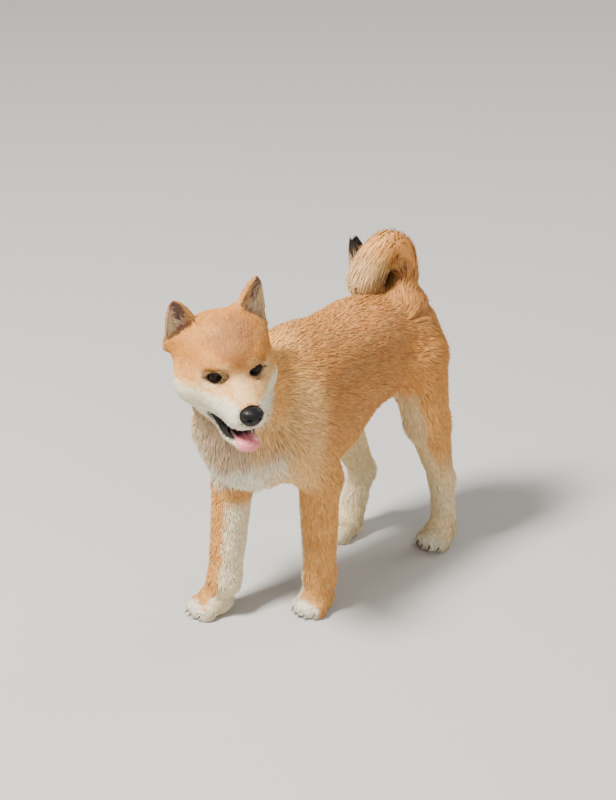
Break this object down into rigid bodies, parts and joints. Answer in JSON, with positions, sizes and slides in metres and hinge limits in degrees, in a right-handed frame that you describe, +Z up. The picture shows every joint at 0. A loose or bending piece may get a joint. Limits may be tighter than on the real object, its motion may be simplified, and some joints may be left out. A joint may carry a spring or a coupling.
{
  "type": "shiba inu puppy",
  "caption": "Life-size still model of a standing shiba inu puppy, head turned with the mouth open, tail curled over its back.",
  "frame": {"origin": "on the floor, under the middle of the box round the puppy", "axes": "+Z up, the puppy's body faces -Y, +X is its left side"},
  "size_m": [0.1384, 0.3437, 0.3589],
  "materials": {
    "coat_red": "short plush orange-tan coat",
    "coat_cream": "short cream coat",
    "coat_dark": "dark brown to black fur",
    "nose_leather": "moist black nose leather",
    "tongue": "moist pink tongue",
    "eye": "dark brown glossy eye",
    "claw": "dark horn",
    "lip": "dark moist lip skin"
  },
  "bodies": {
    "root": {"head": "coat_red", "lower_jaw": "coat_cream", "nose": "nose_leather", "tongue": "tongue", "eye_left": "eye", "eye_right": "eye", "ear_left": "coat_red", "ear_right": "coat_red", "neck": "coat_red", "torso": "coat_red", "leg_front_left": "coat_red", "leg_front_right": "coat_red", "leg_hind_left": "coat_red", "leg_hind_right": "coat_red", "paw_front_left": "coat_cream", "paw_front_right": "coat_cream", "paw_hind_left": "coat_cream", "paw_hind_right": "coat_cream", "tail_base": "coat_red", "tail_middle": "coat_cream", "tail_tip": "coat_dark"}
  },
  "joints": []
}
